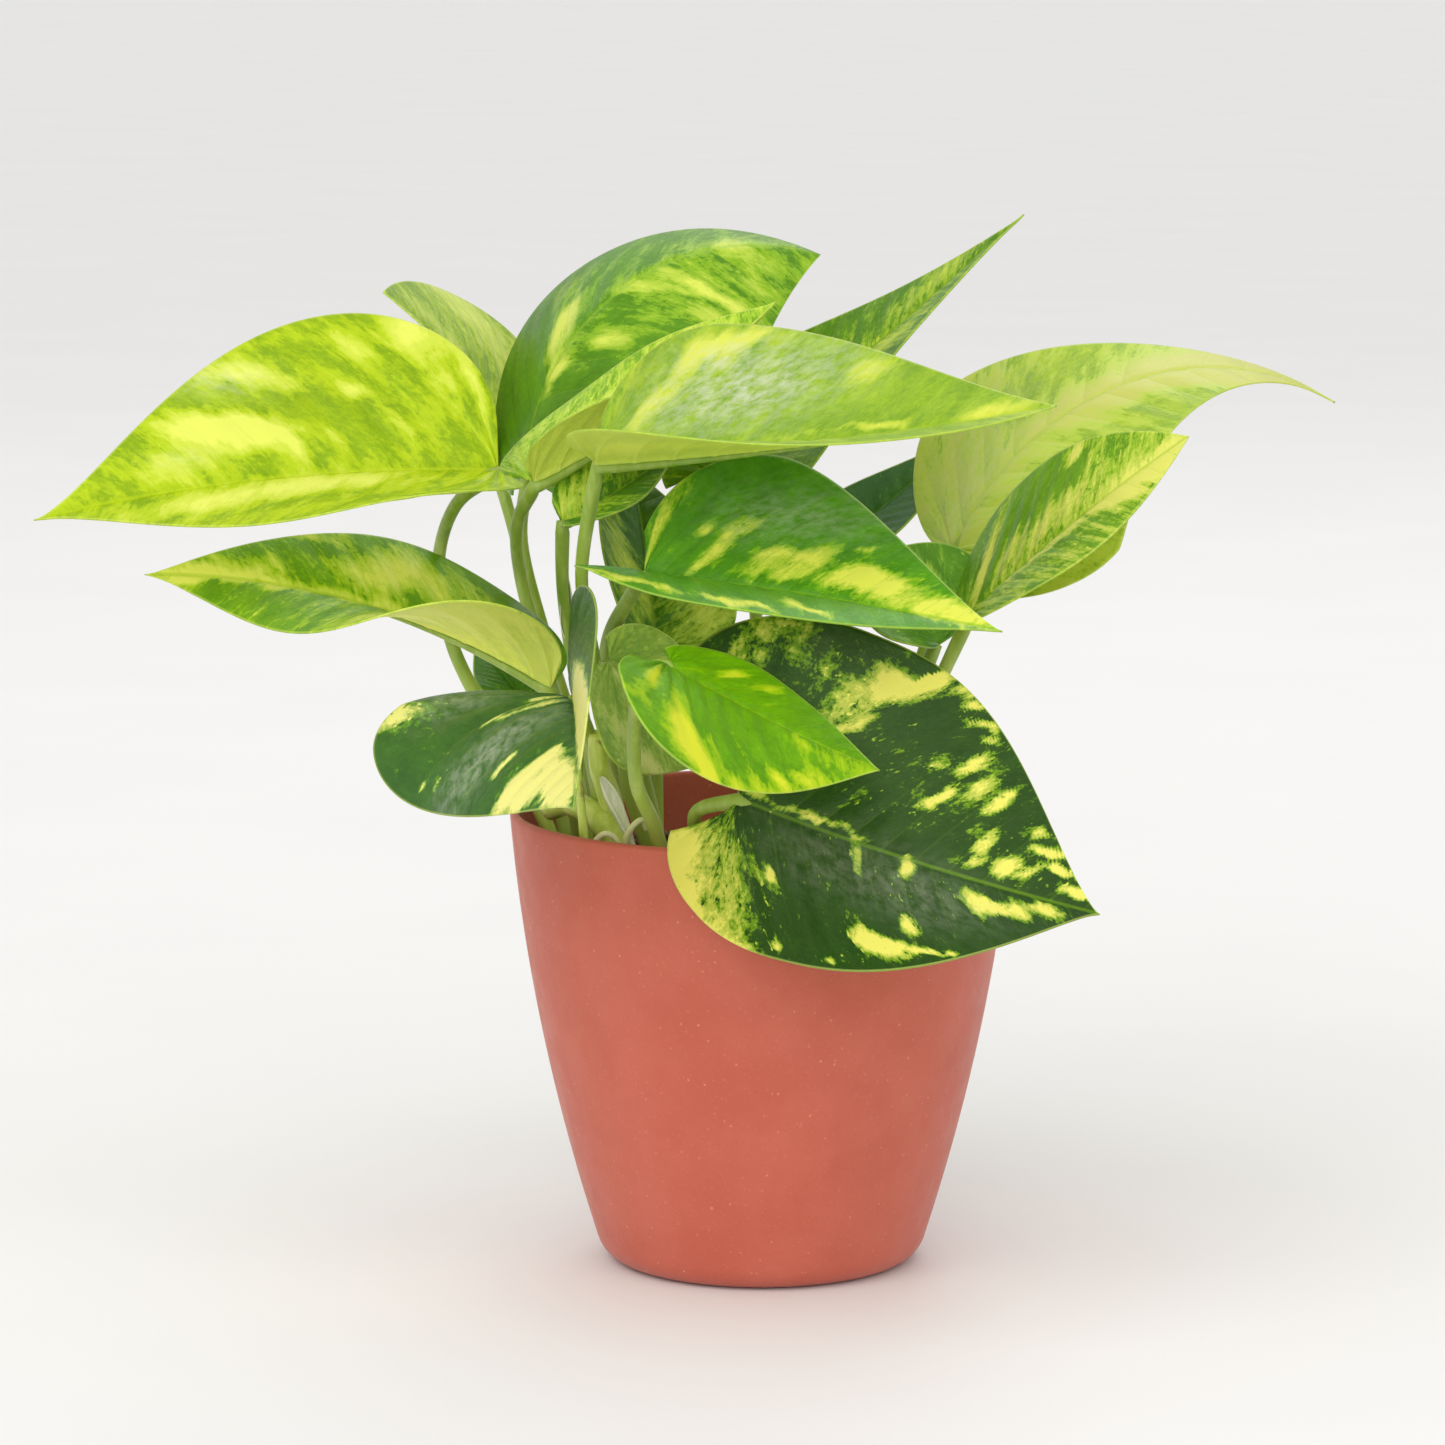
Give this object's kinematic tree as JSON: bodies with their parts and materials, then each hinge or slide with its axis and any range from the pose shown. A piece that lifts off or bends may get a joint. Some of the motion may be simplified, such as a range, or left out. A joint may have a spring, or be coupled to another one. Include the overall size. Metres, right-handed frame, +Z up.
{
  "type": "potted golden pothos",
  "caption": "Young golden pothos with variegated heart-shaped leaves on upright stems, growing in soil in a plain round tapered terracotta-coloured pot.",
  "frame": {"origin": "middle of the pot's flat base, on the surface that it stands on", "axes": "+Z up along the pot's axis, +X to the right and -Y towards the viewer as the plant is seen from the front"},
  "size_m": [0.309, 0.223, 0.2489],
  "materials": {
    "pot": "matte terracotta-coloured composite with fine light specks",
    "soil": "dark moist potting soil with bits of bark and root",
    "stem": "fresh pale green stalk, satin",
    "bright_leaf": "waxy leaf, yellow-green with yellow and cream variegation",
    "dark_leaf": "waxy leaf, dark green with cream variegation"
  },
  "bodies": {
    "root": {"pot": "pot", "soil": "soil", "stem_upper_left": "stem", "leaf_upper_left": "bright_leaf", "stem_mid_left": "stem", "leaf_mid_left": "bright_leaf", "stem_low_left": "stem", "leaf_low_left": "dark_leaf", "stem_back_left": "stem", "leaf_back_left": "bright_leaf", "stem_top_centre": "stem", "leaf_top_centre": "bright_leaf", "stem_centre_small": "stem", "leaf_centre_small": "bright_leaf", "stem_centre_right": "stem", "leaf_centre_right": "bright_leaf", "stem_centre_inner": "stem", "leaf_centre_inner": "dark_leaf", "stem_back_right_pointed": "stem", "leaf_back_right_pointed": "bright_leaf", "stem_inner_dark": "stem", "leaf_inner_dark": "dark_leaf", "stem_centre": "stem", "leaf_centre": "bright_leaf", "stem_front_bright": "stem", "leaf_front_bright": "bright_leaf", "stem_right_dark_big": "stem", "leaf_right_dark_big": "dark_leaf", "stem_right_pale_big": "stem", "leaf_right_pale_big": "bright_leaf", "stem_right_striped": "stem", "leaf_right_striped": "dark_leaf", "stem_back_right_dark": "stem", "leaf_back_right_dark": "dark_leaf", "stem_right_small": "stem", "leaf_right_small": "dark_leaf", "stem_inner_pale": "stem", "leaf_inner_pale": "bright_leaf", "stem_back_left_small": "stem", "leaf_back_left_small": "dark_leaf"}
  },
  "joints": []
}
